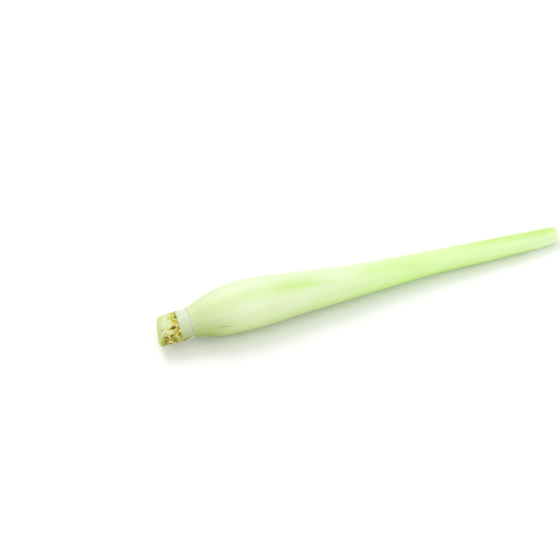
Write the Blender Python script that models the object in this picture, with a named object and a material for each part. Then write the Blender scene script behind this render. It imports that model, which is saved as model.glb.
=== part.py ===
"""A trimmed lemongrass stalk, lying on its side.

The stalk runs along +X from its root end to its cut top, with +Z up. It lies on Z = 0 on two
flattened spots, one under the bulb and one under the cut top. The origin is the middle of its
box, on that surface.

The pieces are those that a cook can pull apart: the short solid stem with the scars of its
trimmed roots, the stump of a leaf base that was pulled away, and the leaf sheaths, which are
rolled one inside another and were cut off by one stroke of the knife. The outermost sheath
laps over itself along the back. The others only meet edge to edge.

Lengths in the outlines are in millimetres. s runs along the stalk from 0, just inside the root cut.
"""

import math
import random

import bmesh
import bpy
import numpy as np
from mathutils import Matrix, Vector

MM = 0.001

# The whole stalk.
LENGTH = 209.4
BULB_AT = 44.0
BULB_RADIUS = 12.4
TOP_AT = 205.0
TOP_RADIUS = 4.45
BULB_SINKS = 0.35  # how far the round bulb is flattened where it lies
TOP_SINKS = 0.25
ROOT_DROOPS = 5.0  # how far the root end hangs below the line of the stalk
ROOT_DROOP_POWER = 1.2
SWAY = [  # how far the stalk bends to the back
    (0, 0.1), (10, -0.3), (24, 0.1), (40, 0.5), (60, 0.6), (100, 0.2), (140, 0.8), (175, 0.4), (210, 0.5),
]

# The knife's strokes: how far each cut leans, as a slope across the stalk, to the back and up.
ROOT_CUT = (0.22, 0.06)
TOP_CUT = (0.05, 0.09)
ROOT_CUT_REACH = 8.0
TOP_CUT_REACH = 16.0

# The leaf sheaths. The sides are of one turn.
OUTER_SIDES = 40
INNER_SIDES = 24
HEART_SIDES = 18
BULB_STATIONS = 9
SHAFT_STATIONS = 17
INNER_STATIONS = 14
INNER_CROWDING = 1.4  # how much closer together the sections are in the bulb
CLEARANCE = 0.3
MARGIN_THICKNESS = 0.6  # of a sheath's thin free edge
OUTER_STARTS = 15.0
SECOND_STARTS, SECOND_STANDS_OUT = 24.0, 0.2
THIRD_STARTS, THIRD_STANDS_OUT = 30.0, 0.45
HEART_STARTS, HEART_STANDS_OUT = 47.0, 0.7
SHEATH_RADIUS = [
    (OUTER_STARTS, 7.75), (17, 8.15), (22, 9.6), (28, 11.1), (35, 12.0), (BULB_AT, BULB_RADIUS), (52, 12.05),
    (62, 11.1), (80, 9.6), (100, 7.9), (120, 6.8), (140, 5.95), (170, 5.3), (195, 4.8),
    (TOP_AT, TOP_RADIUS), (208, 4.25), (211, 3.95),
]
OUTER_THICKNESS = [
    (OUTER_STARTS, 1.1), (19, 1.5), (30, 1.8), (BULB_AT, 1.9), (70, 1.6), (100, 1.15), (150, 0.8),
    (211, 0.65),
]
SECOND_THICKNESS = [(SECOND_STARTS, 1.1), (BULB_AT, 1.7), (70, 1.5), (100, 1.1), (150, 0.7), (211, 0.6)]
THIRD_THICKNESS = [(THIRD_STARTS, 0.8), (BULB_AT, 1.5), (70, 1.3), (100, 1.0), (150, 0.65), (211, 0.6)]
HEART_HOLLOW = 0.4

# Where the outer sheath laps over itself, in degrees about the stalk from +Y towards +Z.
LAP_EDGE = 15.0
LAP_WIDTH = 50.0
LAP_RISE = 36.0  # the angle over which the lapping edge climbs onto the layer below
MARGIN_TAPER = 70.0
SLIT = 0.4  # between the two edges of a sheath that doesn't lap

# The solid stem, and the stump of the old leaf base round its neck.
STEM_SIDES = 28
STEM_RADIUS = [
    (-1.2, 6.5), (-0.7, 6.95), (1.5, 7.05), (4, 7.1), (6, 7.05), (7.2, 6.7), (7.9, 6.3), (24, 6.3),
    (36, 6.1), (BULB_AT, 5.6), (50, 4.6), (56, 3.1), (59, 1.9), (60.4, 1.2), (61, 0.6),
]
STUMP_STARTS = 8.4
STUMP_ENDS = 14.7
STUMP_RADIUS = [(STUMP_STARTS, 7.15), (11, 7.1), (STUMP_ENDS, 7.4)]
STUMP_BORE = 6.6
STUMP_RAGGED = 0.45
STUMP_RAGGED_REACH = 2.0
STUMP_WAVES = 7

# The scars of the trimmed roots: short stubs in rings round the end of the stem.
SCAR_RINGS = [(1.6, 9), (4.1, 12), (6.3, 14)]  # where each ring is, and how many scars it has
SCAR_JITTER = 0.45
SCAR_RADIUS = (0.8, 1.3)
SCAR_HEIGHT = (0.2, 0.6)
SCAR_SUNK = 0.9
SCAR_LEAN = 0.3  # towards the root end, as a share of the height
SCAR_TAPER = 0.62
SCAR_SIDES = 6
SEED = 7
SHARP_EDGE = 40.0

WHITE = (0.83, 0.86, 0.62)
CREAM = (0.80, 0.78, 0.48)
PALE_GREEN = (0.72, 0.87, 0.46)
YELLOW_GREEN = (0.66, 0.84, 0.36)
LEAF_GREEN = (0.60, 0.80, 0.30)


def smooth_curve(stations):
    """A function of s that passes smoothly through the (s, value) stations."""
    places, values = np.array(stations, float).T
    slopes = np.gradient(values, places)

    def value(s):
        s = min(max(s, places[0]), places[-1])
        i = min(int(np.searchsorted(places, s, side="right")) - 1, len(places) - 2)
        step = places[i + 1] - places[i]
        t = (s - places[i]) / step
        start = (1 + 2 * t) * (1 - t) ** 2 * values[i] + t * (1 - t) ** 2 * step * slopes[i]
        end = t**2 * (3 - 2 * t) * values[i + 1] - t**2 * (1 - t) * step * slopes[i + 1]
        return float(start + end)

    return value


def ease(t):
    """From 0 to 1 with no corner at either end."""
    t = min(max(t, 0.0), 1.0)
    return t * t * (3 - 2 * t)


sheath_radius = smooth_curve(SHEATH_RADIUS)
outer_thickness = smooth_curve(OUTER_THICKNESS)
second_thickness = smooth_curve(SECOND_THICKNESS)
third_thickness = smooth_curve(THIRD_THICKNESS)
stem_radius = smooth_curve(STEM_RADIUS)
stump_radius = smooth_curve(STUMP_RADIUS)
sway = smooth_curve(SWAY)


def second_radius(s):
    return sheath_radius(s) - outer_thickness(s) - CLEARANCE


def third_radius(s):
    return second_radius(s) - second_thickness(s) - CLEARANCE


def heart_radius(s):
    return third_radius(s) - third_thickness(s) - CLEARANCE


def heart_thickness(s):
    """The heart leaf clears the stem's tip, and above it is rolled up almost solid."""
    stem_ends = STEM_RADIUS[-1][0]
    hollow = stem_radius(s) + CLEARANCE if s < stem_ends else HEART_HOLLOW
    return heart_radius(s) - max(hollow, HEART_HOLLOW)


def centre(s):
    """The middle of the stalk at s: a straight line from the bulb to the top, and a drooping root end."""
    bulb_height = BULB_RADIUS - BULB_SINKS
    top_height = TOP_RADIUS - TOP_SINKS
    height = bulb_height + (top_height - bulb_height) * (s - BULB_AT) / (TOP_AT - BULB_AT)
    if s < BULB_AT:
        height -= ROOT_DROOPS * (1 - s / BULB_AT) ** ROOT_DROOP_POWER
    return Vector((s, sway(s), height))


def across(s):
    """The two directions across the stalk at s: to the back, and up."""
    along = (centre(s + 0.5) - centre(s - 0.5)).normalized()
    back = Vector((0, 0, 1)).cross(along).normalized()
    return back, along.cross(back)


def point(s, angle, radius):
    """A point round the stalk, in metres. Near its ends the sections lean as the knife cut them.

    Underneath, every layer is pressed up as far as the outermost one is by the surface."""
    turn = math.radians(angle)
    lowest = max(sheath_radius(s) - radius, 0)
    root_share = ease(1 - s / ROOT_CUT_REACH)
    top_share = ease((s - LENGTH + TOP_CUT_REACH) / TOP_CUT_REACH)
    for share, (to_back, upwards) in ((root_share, ROOT_CUT), (top_share, TOP_CUT)):
        s += share * radius * (to_back * math.cos(turn) + upwards * math.sin(turn))
    back, up = across(s)
    place = centre(s) + radius * (math.cos(turn) * back + math.sin(turn) * up)
    if s > OUTER_STARTS:
        place.z = max(place.z, lowest)
    return place * MM


def sweep(rings):
    """A tube through rings of points: its bmesh, and its first and last loops of vertices."""
    bm = bmesh.new()
    number = bm.verts.layers.int.new("number")
    loop = [bm.verts.new(place) for place in rings[0]]
    for i, vert in enumerate(loop):
        vert[number] = i
    first = loop
    edges = [bm.edges.new((loop[i - 1], loop[i])) for i in range(len(loop))]
    for ring in rings[1:]:
        made = bmesh.ops.extrude_edge_only(bm, edges=edges)["geom"]
        loop = [item for item in made if isinstance(item, bmesh.types.BMVert)]
        loop.sort(key=lambda vert: vert[number])
        for vert, place in zip(loop, ring):
            vert.co = place
        edges = [bm.edges.get((loop[i - 1], loop[i])) for i in range(len(loop))]
    return bm, first, loop


def close_round(bm, loop):
    """Fills a round end with one flat face."""
    bm.faces.new(loop)


def close_wall(bm, loop):
    """Fills the end of a rolled wall, whose loop runs out along its outside and back along its inside."""
    half = len(loop) // 2
    for i in range(half - 1):
        bm.faces.new((loop[i], loop[i + 1], loop[-2 - i], loop[-1 - i]))


def close_sleeve(bm, outside, inside):
    """Joins the rims of an outer and an inner tube that share one end."""
    count = len(outside)
    for i in range(count):
        bm.faces.new((outside[i - 1], outside[i], inside[i], inside[i - 1]))


def material(name, colour, roughness):
    made = bpy.data.materials.new(name)
    made.use_nodes = True
    shader = made.node_tree.nodes["Principled BSDF"]
    shader.inputs["Base Color"].default_value = (*colour, 1)
    shader.inputs["Roughness"].default_value = roughness
    shader.inputs["Metallic"].default_value = 0.0
    return made


def node(name, bm, finish, parent):
    """Makes an object of the bmesh, as one piece of the stalk."""
    bmesh.ops.recalc_face_normals(bm, faces=bm.faces)
    mesh = bpy.data.meshes.new(name)
    bm.to_mesh(mesh)
    bm.free()
    mesh.shade_smooth()
    mesh.set_sharp_from_angle(angle=math.radians(SHARP_EDGE))
    mesh.materials.append(finish)
    made = bpy.data.objects.new(name, mesh)
    made.parent = parent
    bpy.context.scene.collection.objects.link(made)
    return made


def stations(start, end, count, towards_start=1.0):
    """Places along the stalk, closer together near the start where towards_start is over 1."""
    return [start + (end - start) * (i / (count - 1)) ** towards_start for i in range(count)]


def lapped_section(s):
    """The outer sheath's section at s: one turn, and a lapping edge that lies on the turn's start."""
    total = 360 + LAP_WIDTH
    count = round(OUTER_SIDES * total / 360)
    full = outer_thickness(s)
    lift = MARGIN_THICKNESS + CLEARANCE
    outside, inside = [], []
    for i in range(count + 1):
        turn = total * i / count
        radius = sheath_radius(s) + lift * ease((turn - 360 + LAP_RISE) / LAP_RISE)
        body = ease(turn / MARGIN_TAPER) * ease((360 - turn) / MARGIN_TAPER)
        thickness = MARGIN_THICKNESS + (full - MARGIN_THICKNESS) * body
        angle = LAP_EDGE - total + turn
        outside.append(point(s, angle, radius))
        inside.append(point(s, angle, radius - thickness))
    return outside + inside[::-1]


def rolled_section(s, radius, thickness, slit_at, sides):
    """The section at s of a sheath whose two edges meet at the angle slit_at."""
    gap = math.degrees(SLIT / radius)
    outside, inside = [], []
    for i in range(sides + 1):
        angle = slit_at + gap / 2 + (360 - gap) * i / sides
        outside.append(point(s, angle, radius))
        inside.append(point(s, angle, radius - thickness))
    return outside + inside[::-1]


def outer_sheath(parent):
    near = stations(OUTER_STARTS, BULB_AT, BULB_STATIONS)
    far = stations(BULB_AT, LENGTH, SHAFT_STATIONS)
    bm, first, last = sweep([lapped_section(s) for s in near + far[1:]])
    close_wall(bm, first)
    close_wall(bm, last)
    node("outer_sheath", bm, material("outer_sheath", PALE_GREEN, 0.42), parent)


def rolled_leaf(name, start, stands_out, radius, thickness, slit_at, sides, colour, parent):
    """A leaf rolled up inside the outer sheath, which stands a little out of the cut."""
    places = stations(start, LENGTH + stands_out, INNER_STATIONS, INNER_CROWDING)
    bm, first, last = sweep([rolled_section(s, radius(s), thickness(s), slit_at, sides) for s in places])
    close_wall(bm, first)
    close_wall(bm, last)
    node(name, bm, material(name, colour, 0.45), parent)


def inner_leaves(parent):
    """The leaves inside the outer sheath. Each one's edges meet on the other side from the one before."""
    back = LAP_EDGE
    front = LAP_EDGE + 180
    rolled_leaf(
        "second_sheath", SECOND_STARTS, SECOND_STANDS_OUT, second_radius, second_thickness,
        front, INNER_SIDES, YELLOW_GREEN, parent,
    )
    rolled_leaf(
        "third_sheath", THIRD_STARTS, THIRD_STANDS_OUT, third_radius, third_thickness,
        back, INNER_SIDES, YELLOW_GREEN, parent,
    )
    rolled_leaf(
        "heart_leaf", HEART_STARTS, HEART_STANDS_OUT, heart_radius, heart_thickness,
        front, HEART_SIDES, LEAF_GREEN, parent,
    )


def root_scars(draw):
    """The stubs of the trimmed roots, each a short cone that leans a little towards the root end."""
    group = bpy.data.collections.new("root_scars")
    bpy.context.scene.collection.children.link(group)
    spots = [(ring_at, 360 * i / count) for ring_at, count in SCAR_RINGS for i in range(count)]
    for ring_at, angle in spots:
        s = ring_at + draw.uniform(-SCAR_JITTER, SCAR_JITTER)
        angle += draw.uniform(-6, 6)
        radius = draw.uniform(*SCAR_RADIUS)
        height = draw.uniform(*SCAR_HEIGHT)
        foot = point(s, angle, stem_radius(s) - SCAR_SUNK)
        crown = point(s - SCAR_LEAN * height, angle, stem_radius(s) + height)
        outwards = (crown - foot).to_track_quat("Z", "Y").to_matrix().to_4x4()
        bm = bmesh.new()
        bmesh.ops.create_cone(
            bm,
            cap_ends=True,
            segments=SCAR_SIDES,
            radius1=radius * MM,
            radius2=SCAR_TAPER * radius * MM,
            depth=(crown - foot).length,
            matrix=Matrix.Translation((foot + crown) / 2) @ outwards,
        )
        mesh = bpy.data.meshes.new("scar")
        bm.to_mesh(mesh)
        bm.free()
        group.objects.link(bpy.data.objects.new("scar", mesh))
    return group


def apply_union(body, group):
    """Fuses a collection's objects into the body, then removes them."""
    union = body.modifiers.new("union", "BOOLEAN")
    union.operation = "UNION"
    union.operand_type = "COLLECTION"
    union.collection = group
    union.solver = "EXACT"
    graph = bpy.context.evaluated_depsgraph_get()
    fused = bpy.data.meshes.new_from_object(body.evaluated_get(graph))
    body.modifiers.clear()
    body.data = fused
    for scar in list(group.objects):
        bpy.data.objects.remove(scar)
    bpy.data.collections.remove(group)


def basal_stem(parent):
    """The solid stem: a short stub outside, and a core that tapers away inside the sheaths."""
    turns = [360 * i / STEM_SIDES for i in range(STEM_SIDES)]
    rings = [[point(s, angle, stem_radius(s)) for angle in turns] for s, _ in STEM_RADIUS]
    bm, first, last = sweep(rings)
    close_round(bm, first)
    close_round(bm, last)
    made = node("basal_stem", bm, material("basal_stem", CREAM, 0.6), parent)
    apply_union(made, root_scars(random.Random(SEED)))


def old_sheath_stump(parent):
    """The stump of a leaf base that was pulled away: a sleeve with a ragged lower rim."""
    draw = random.Random(SEED)
    turns = [360 * i / STEM_SIDES for i in range(STEM_SIDES)]
    waves = [math.sin(math.radians(angle * STUMP_WAVES)) + draw.uniform(-1, 1) for angle in turns]

    def ring(s, radius):
        ragged = STUMP_RAGGED * ease(1 - (s - STUMP_STARTS) / STUMP_RAGGED_REACH)
        return [point(s + ragged * wave / 2, angle, radius) for angle, wave in zip(turns, waves)]

    places = stations(STUMP_STARTS, STUMP_ENDS, 6)
    outside = [ring(s, stump_radius(s)) for s in places]
    inside = [ring(s, STUMP_BORE) for s in (STUMP_STARTS, STUMP_ENDS)]
    bm, first, last = sweep(outside + inside[::-1])
    close_sleeve(bm, first, last)
    node("old_sheath_stump", bm, material("old_sheath_stump", WHITE, 0.4), parent)


def stand_on_origin(holder):
    """Moves the holder so that the middle of the whole stalk's box is above the origin."""
    corners = [vert.co for piece in holder.children for vert in piece.data.vertices]
    middle_x = (min(c.x for c in corners) + max(c.x for c in corners)) / 2
    middle_y = (min(c.y for c in corners) + max(c.y for c in corners)) / 2
    holder.location = (-middle_x, -middle_y, 0)


def main():
    for old in list(bpy.data.objects):
        bpy.data.objects.remove(old)
    stalk = bpy.data.objects.new("lemongrass_stalk", None)
    bpy.context.scene.collection.objects.link(stalk)
    basal_stem(stalk)
    old_sheath_stump(stalk)
    outer_sheath(stalk)
    inner_leaves(stalk)
    stand_on_origin(stalk)


main()
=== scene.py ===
"""The looks of a trimmed lemongrass stalk that lies on its side.

Every leaf is modelled flat and then rolled up: a point of the flat leaf is at (s, turn, depth). s is
the distance along the stalk in millimetres, turn is in degrees round it, and depth goes from 0 on
the leaf's outside to 1 on its inside. The stem is rolled up from a flat sheet in the same way.
"""

import math
import random

import bmesh
import bpy
import numpy as np
from bpy.props import FloatProperty, FloatVectorProperty, IntProperty, PointerProperty
from bpy.types import Operator, Panel, PropertyGroup
from mathutils import Matrix, Vector, noise


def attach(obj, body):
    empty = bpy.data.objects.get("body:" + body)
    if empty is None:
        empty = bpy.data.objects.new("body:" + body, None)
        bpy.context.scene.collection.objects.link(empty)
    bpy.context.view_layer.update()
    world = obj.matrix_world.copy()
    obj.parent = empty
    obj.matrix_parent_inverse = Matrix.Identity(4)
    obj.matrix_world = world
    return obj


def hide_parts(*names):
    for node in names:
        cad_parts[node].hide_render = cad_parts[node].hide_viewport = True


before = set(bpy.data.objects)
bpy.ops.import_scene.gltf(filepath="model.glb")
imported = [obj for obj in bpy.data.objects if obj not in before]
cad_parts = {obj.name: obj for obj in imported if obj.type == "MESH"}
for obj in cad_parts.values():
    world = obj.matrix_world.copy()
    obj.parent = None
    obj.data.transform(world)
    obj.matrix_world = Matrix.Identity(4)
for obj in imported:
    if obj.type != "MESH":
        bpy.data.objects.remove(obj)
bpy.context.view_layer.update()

bl_info = {
    "name": "Lemongrass Stalk",
    "version": (1, 0, 0),
    "blender": (4, 5, 0),
    "location": "3D View > Sidebar > Lemongrass",
    "description": "Makes the rolled leaves, stem and stage of a trimmed lemongrass stalk",
    "category": "Add Mesh",
}

MM = 0.001
BODY = "root"

# The stalk's line and outline, which the solids share.
ROOT_AT = (-103.827, -0.995, 0.0)
LENGTH = 209.4
BULB_AT, BULB_RADIUS, BULB_SINKS = 44.0, 12.4, 0.35
TOP_AT, TOP_RADIUS, TOP_SINKS = 205.0, 4.45, 0.25
TIP_LIFTS, TIP_LIFTS_FROM = 0.42, 199.0  # the cut top curves up a little
ROOT_DROOPS, ROOT_DROOP_POWER = 5.0, 1.2
SWAY = [
    (0, 0.1), (10, -0.3), (24, 0.1), (40, 0.5), (60, 0.6), (100, 0.2), (140, 0.8), (175, 0.4), (210, 0.5),
]
ROOT_CUT, ROOT_CUT_REACH = (0.22, 0.06), 8.0
TOP_CUT, TOP_CUT_REACH = (0.05, 0.09), 16.0
OUTER_STARTS = 15.0
SHEATH_RADIUS = [
    (OUTER_STARTS, 7.75), (17, 8.15), (22, 9.6), (28, 11.1), (35, 12.0), (BULB_AT, BULB_RADIUS), (52, 12.05),
    (62, 11.1), (80, 9.6), (100, 7.9), (120, 6.8), (140, 5.95), (170, 5.3), (195, 4.8),
    (200, 4.62), (TOP_AT, TOP_RADIUS - 0.14), (208, 4.0), (211, 3.5),
]
OUTER_THICKNESS = [
    (OUTER_STARTS, 1.1), (19, 1.5), (30, 1.8), (BULB_AT, 1.9), (70, 1.6), (100, 1.15), (150, 0.8),
    (211, 0.65),
]
SECOND_THICKNESS = [(24, 1.1), (BULB_AT, 1.7), (70, 1.5), (100, 1.1), (150, 0.7), (211, 0.6)]
THIRD_THICKNESS = [(30, 0.8), (BULB_AT, 1.5), (70, 1.3), (100, 1.0), (150, 0.65), (211, 0.6)]
SOLIDS_CLEARANCE = 0.3
CORE_RADIUS, CORE_SINKS = 1.4, 0.4  # the core isn't pressed up underneath as the layers round it are
LAP_EDGE, LAP_WIDTH, LAP_RISE = 15.0, 50.0, 36.0
LAPPED_TURN = 360 + LAP_WIDTH
GROWN = SOLIDS_CLEARANCE / 3  # how much further out the leaves inside reach than their solids
CUT_WAVES_IN = 2.0  # the cut end of a leaf is uneven over this length

# The stem, from the middle of its cut face over its side to the tip of its core.
STEM_OUTLINE = [
    (-1.85, 0.0), (-1.8, 2.0), (-1.65, 4.2), (-1.4, 5.9), (-1.1, 6.6), (-0.5, 6.98), (1.5, 7.05), (4, 7.1),
    (6, 7.05), (7.8, 6.95), (9.0, 6.45), (12, 6.3), (24, 6.3), (36, 6.1), (BULB_AT, 5.6), (50, 4.6),
    (56, 3.1), (60.4, 1.2), (61, 0.0),
]
STUB_ENDS, STUB_RADIUS = 9.0, 7.0
STUMP_STARTS, STUMP_ENDS = 8.6, 15.3
STUMP_RADIUS = [(STUMP_STARTS, 7.15), (9.6, 7.1), (11, 7.08), (13.4, 7.18), (14.6, 7.2), (STUMP_ENDS, 7.0)]
STUMP_BORE = 6.5
SCAR_RINGS = [(1.6, 9), (4.1, 12), (6.3, 14)]
SCAR_JITTER, SCAR_TURN_JITTER = 0.45, 6.0
SCAR_RADIUS, SCAR_HEIGHT = (0.8, 1.3), (0.2, 0.6)
STUB_UNDER_AT = 186.0  # the angle at which the stub is most torn and darkest
SEED = 7
# Where the stem is stained: s, angle, length, width in degrees, and how brown.
STAINS = [
    (7.4, 141, 0.9, 15, 0.66), (7.8, 88, 0.7, 7, 1.1), (5.8, 130, 1.5, 7, 1.3), (5.6, 86, 1.2, 9, 0.4),
    (6.8, 104, 0.8, 6, 0.5), (1.9, 146, 0.8, 7, 0.6), (3.0, 170, 1.2, 12, 0.75), (4.7, 152, 0.9, 7, 0.6),
    (2.3, 159, 0.9, 7, 1.15), (4.8, 162, 0.9, 8, 1.2), (4.5, 184, 1.0, 8, 1.1), (1.0, 128, 0.5, 4, 0.85),
    (7.8, 111, 0.6, 5, 0.9), (0.8, 199, 0.8, 6, 1.0), (8.2, 160, 0.6, 6, 0.95), (2.0, 178, 0.9, 8, 1.05),
    (5.6, 178, 1.0, 9, 0.6), (7.6, 172, 0.7, 8, 0.9), (3.4, 202, 0.9, 7, 0.95), (6.4, 196, 0.8, 7, 0.9),
    (4.4, 84, 1.5, 16, 0.42), (3.2, 166, 2.2, 18, 0.4), (0.8, 164, 1.1, 14, 0.45), (6.6, 250, 1.4, 13, 0.8),
    (6.8, 20, 1.3, 14, 0.7), (6.9, 300, 1.2, 18, 0.7), (3.4, 330, 1.9, 12, 0.5), (7.2, 52, 0.9, 11, 0.6),
    (5.0, 350, 1.0, 9, 0.7), (7.6, 352, 0.7, 6, 1.1), (4.6, 268, 0.8, 8, 0.9), (7.4, 226, 0.9, 7, 1.0),
]

SHARP_EDGE = 50.0  # edges sharper than this many degrees are rims, and get rounded
SHORTEST_RIM = 0.8  # as a share of the rounding
MERGE = 0.003  # points closer than this are made one
CUT_FACE = 0.01  # a leaf's points within this of its upper end are on its cut face
LEAF_MAP = (100.0, 360.0)  # millimetres along and degrees round for one unit of a leaf's UV map


def srgb(red, green, blue):
    """A screen colour from 0 to 255, as the linear values that shaders take."""
    parts = [channel / 255 for channel in (red, green, blue)]
    return tuple(c / 12.92 if c <= 0.04045 else ((c + 0.055) / 1.055) ** 2.4 for c in parts)


def size_property(name, description, default):
    return FloatProperty(
        name=name, description=description, default=default, subtype="DISTANCE", unit="LENGTH"
    )


def angle_property(name, description, degrees):
    return FloatProperty(
        name=name, description=description, default=math.radians(degrees), subtype="ANGLE", unit="ROTATION"
    )


def colour_property(name, description, default):
    return FloatVectorProperty(
        name=name, description=description, default=default, subtype="COLOR", size=3, min=0, max=1
    )


class LemongrassLeaves(PropertyGroup):
    """The sizes of the rolled leaves."""

    gap: size_property("Gap", "Gap between two leaves that lie on each other", 0.00008)
    lap_thickness: size_property("Lap thickness", "Thickness of the outer leaf where it laps", 0.00045)
    edge_thickness: size_property("Edge thickness", "Thickness of the outer leaf's free edge", 0.00012)
    rib_depth: size_property("Rib depth", "How far the low lengthwise ribs stand out", 0.00004)
    ribs: IntProperty(name="Ribs", description="Number of low ribs in one turn", default=34, min=1)
    swell: size_property("Swell", "How far the surface swells and sinks", 0.00014)
    bead: size_property("Bead", "How far the rim at the leaf's base stands out", 0.00007)
    step: size_property("Step", "How far the next leaf's edge shows through", 0.00014)


class LemongrassStub(PropertyGroup):
    """The sizes of the stem's end, its scars and torn bits."""

    roughness: size_property("Roughness", "How far the torn skin stands out", 0.00024)
    scar_pit: size_property("Scar pit", "How deep a root scar's middle is", 0.0003)
    fibres: IntProperty(name="Fibres", description="Number of torn fibres", default=150, min=0)
    fibre_length: size_property("Fibre length", "Length of the longest torn fibre", 0.0013)
    fibre_radius: size_property("Fibre radius", "Thickness of a torn fibre at its foot", 0.00006)
    flakes: IntProperty(name="Flakes", description="Number of torn flakes of skin", default=46, min=0)
    flake_length: size_property("Flake length", "Length of the longest flake", 0.0017)


class LemongrassColours(PropertyGroup):
    """The colours of the stalk."""

    # The base colour is the leaf's own colour there, darkened and greened with painted shade.
    base: colour_property("Base", "Outer leaf at its base", srgb(201, 212, 154))
    bulb: colour_property("Bulb", "Outer leaf on the bulb", srgb(219, 232, 186))
    shaft: colour_property("Shaft", "Outer leaf above the bulb", srgb(212, 243, 166))
    top: colour_property("Top", "Outer leaf at the cut top", srgb(220, 243, 184))
    streak: colour_property("Streak", "Green streaks of the outer leaf", srgb(184, 226, 106))
    # The three colours below are the leaf's greener underside, deepened with painted shade.
    base_under: colour_property("Base below", "The outer leaf's underside at its base", srgb(130, 151, 30))
    bulb_under: colour_property("Bulb below", "The bulb's underside", srgb(162, 185, 54))
    shaft_under: colour_property("Shaft below", "The shaft's underside", srgb(166, 216, 62))
    edge: colour_property("Edge", "The outer leaf's thin free edge", srgb(242, 244, 220))
    inner: colour_property("Inner", "Leaves inside", srgb(200, 226, 140))
    heart: colour_property("Heart", "Rolled heart leaf", srgb(176, 210, 98))
    cut: colour_property("Cut", "Freshly cut edge of a leaf", srgb(228, 238, 196))
    vein: colour_property("Vein", "Cut veins", srgb(170, 194, 104))
    stump: colour_property("Stump", "Old leaf base", srgb(207, 218, 190))
    stem: colour_property("Stem", "Skin of the stem's end", srgb(207, 217, 172))
    gold: colour_property("Gold", "Torn skin", srgb(220, 221, 98))
    amber: colour_property("Amber", "Old torn skin", srgb(190, 172, 44))
    cream: colour_property("Cream", "Pale strands in the torn skin", srgb(232, 236, 160))
    olive: colour_property("Olive", "Torn skin on the stem's lower front", srgb(136, 140, 10))
    brown: colour_property("Brown", "Root scars", srgb(132, 108, 24))
    pit: colour_property("Pit", "Deep in the scars", srgb(62, 52, 12))
    face: colour_property("Face", "Cut face of the stem", srgb(196, 213, 154))
    rim: colour_property("Rim", "Rim of the stem's cut face", srgb(182, 204, 126))
    # The bloom colour is also the painted highlight along the top of the bulb.
    bloom: colour_property("Bloom", "Waxy bloom on the bulb", srgb(229, 243, 218))


class LemongrassStage(PropertyGroup):
    """The camera, the lights and the floor."""

    azimuth: angle_property("Azimuth", "Direction that the camera looks in", -19.037)
    elevation: angle_property("Elevation", "How high the camera is", 48.0)
    distance: size_property("Distance", "From the camera to what it looks at", 0.75)
    lens: FloatProperty(name="Lens", description="Focal length in millimetres", default=96.28, min=1)
    key: FloatProperty(name="Key", description="Power of the large light above", default=2.95, unit="POWER")
    fill: FloatProperty(name="Fill", description="Power of the light in front", default=1.15, unit="POWER")
    sky: FloatProperty(name="Sky", description="Strength of the light from all round", default=0.97, min=0)
    floor: colour_property("Floor", "The floor", (0.9, 0.9, 0.9))


def smooth_curve(stations):
    """A function of s that passes smoothly through the (s, value) stations."""
    places, values = np.array(stations, float).T
    slopes = np.gradient(values, places)

    def value(s):
        s = np.clip(s, places[0], places[-1])
        i = np.clip(np.searchsorted(places, s, side="right") - 1, 0, len(places) - 2)
        step = places[i + 1] - places[i]
        t = (s - places[i]) / step
        start = (1 + 2 * t) * (1 - t) ** 2 * values[i] + t * (1 - t) ** 2 * step * slopes[i]
        end = t**2 * (3 - 2 * t) * values[i + 1] - t**2 * (1 - t) * step * slopes[i + 1]
        return start + end

    return value


def ease(t):
    """From 0 to 1 with no corner at either end."""
    t = np.clip(t, 0, 1)
    return t * t * (3 - 2 * t)


def hump(distance, width):
    """1 at no distance, falling smoothly to nothing over a few widths."""
    return np.exp(-((distance / width) ** 2))


def around(angle):
    """How far each angle is to the back and up, on a circle of radius 1."""
    turn = np.radians(angle)
    return np.cos(turn), np.sin(turn)


def turn_between(a, b):
    """The smaller turn from b to a, in degrees."""
    return (a - b + 180) % 360 - 180


def lumps(*coordinates):
    """Smooth noise from -1 to 1 at each point."""
    return np.array([noise.noise(Vector(point)) for point in zip(*np.broadcast_arrays(*coordinates))])


sheath_radius = smooth_curve(SHEATH_RADIUS)
outer_thickness = smooth_curve(OUTER_THICKNESS)
second_thickness = smooth_curve(SECOND_THICKNESS)
third_thickness = smooth_curve(THIRD_THICKNESS)
stump_radius = smooth_curve(STUMP_RADIUS)
sway = smooth_curve(SWAY)


def centre(s):
    """The middle of the stalk at each s."""
    bulb_height = BULB_RADIUS - BULB_SINKS
    top_height = TOP_RADIUS - TOP_SINKS
    height = bulb_height + (top_height - bulb_height) * (s - BULB_AT) / (TOP_AT - BULB_AT)
    height = height - ROOT_DROOPS * np.clip(1 - s / BULB_AT, 0, None) ** ROOT_DROOP_POWER
    height = height + TIP_LIFTS * ease((s - TIP_LIFTS_FROM) / (LENGTH - TIP_LIFTS_FROM))
    return np.stack([s, sway(s), height], axis=-1)


def unit(vectors):
    return vectors / np.linalg.norm(vectors, axis=-1, keepdims=True)


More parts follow.
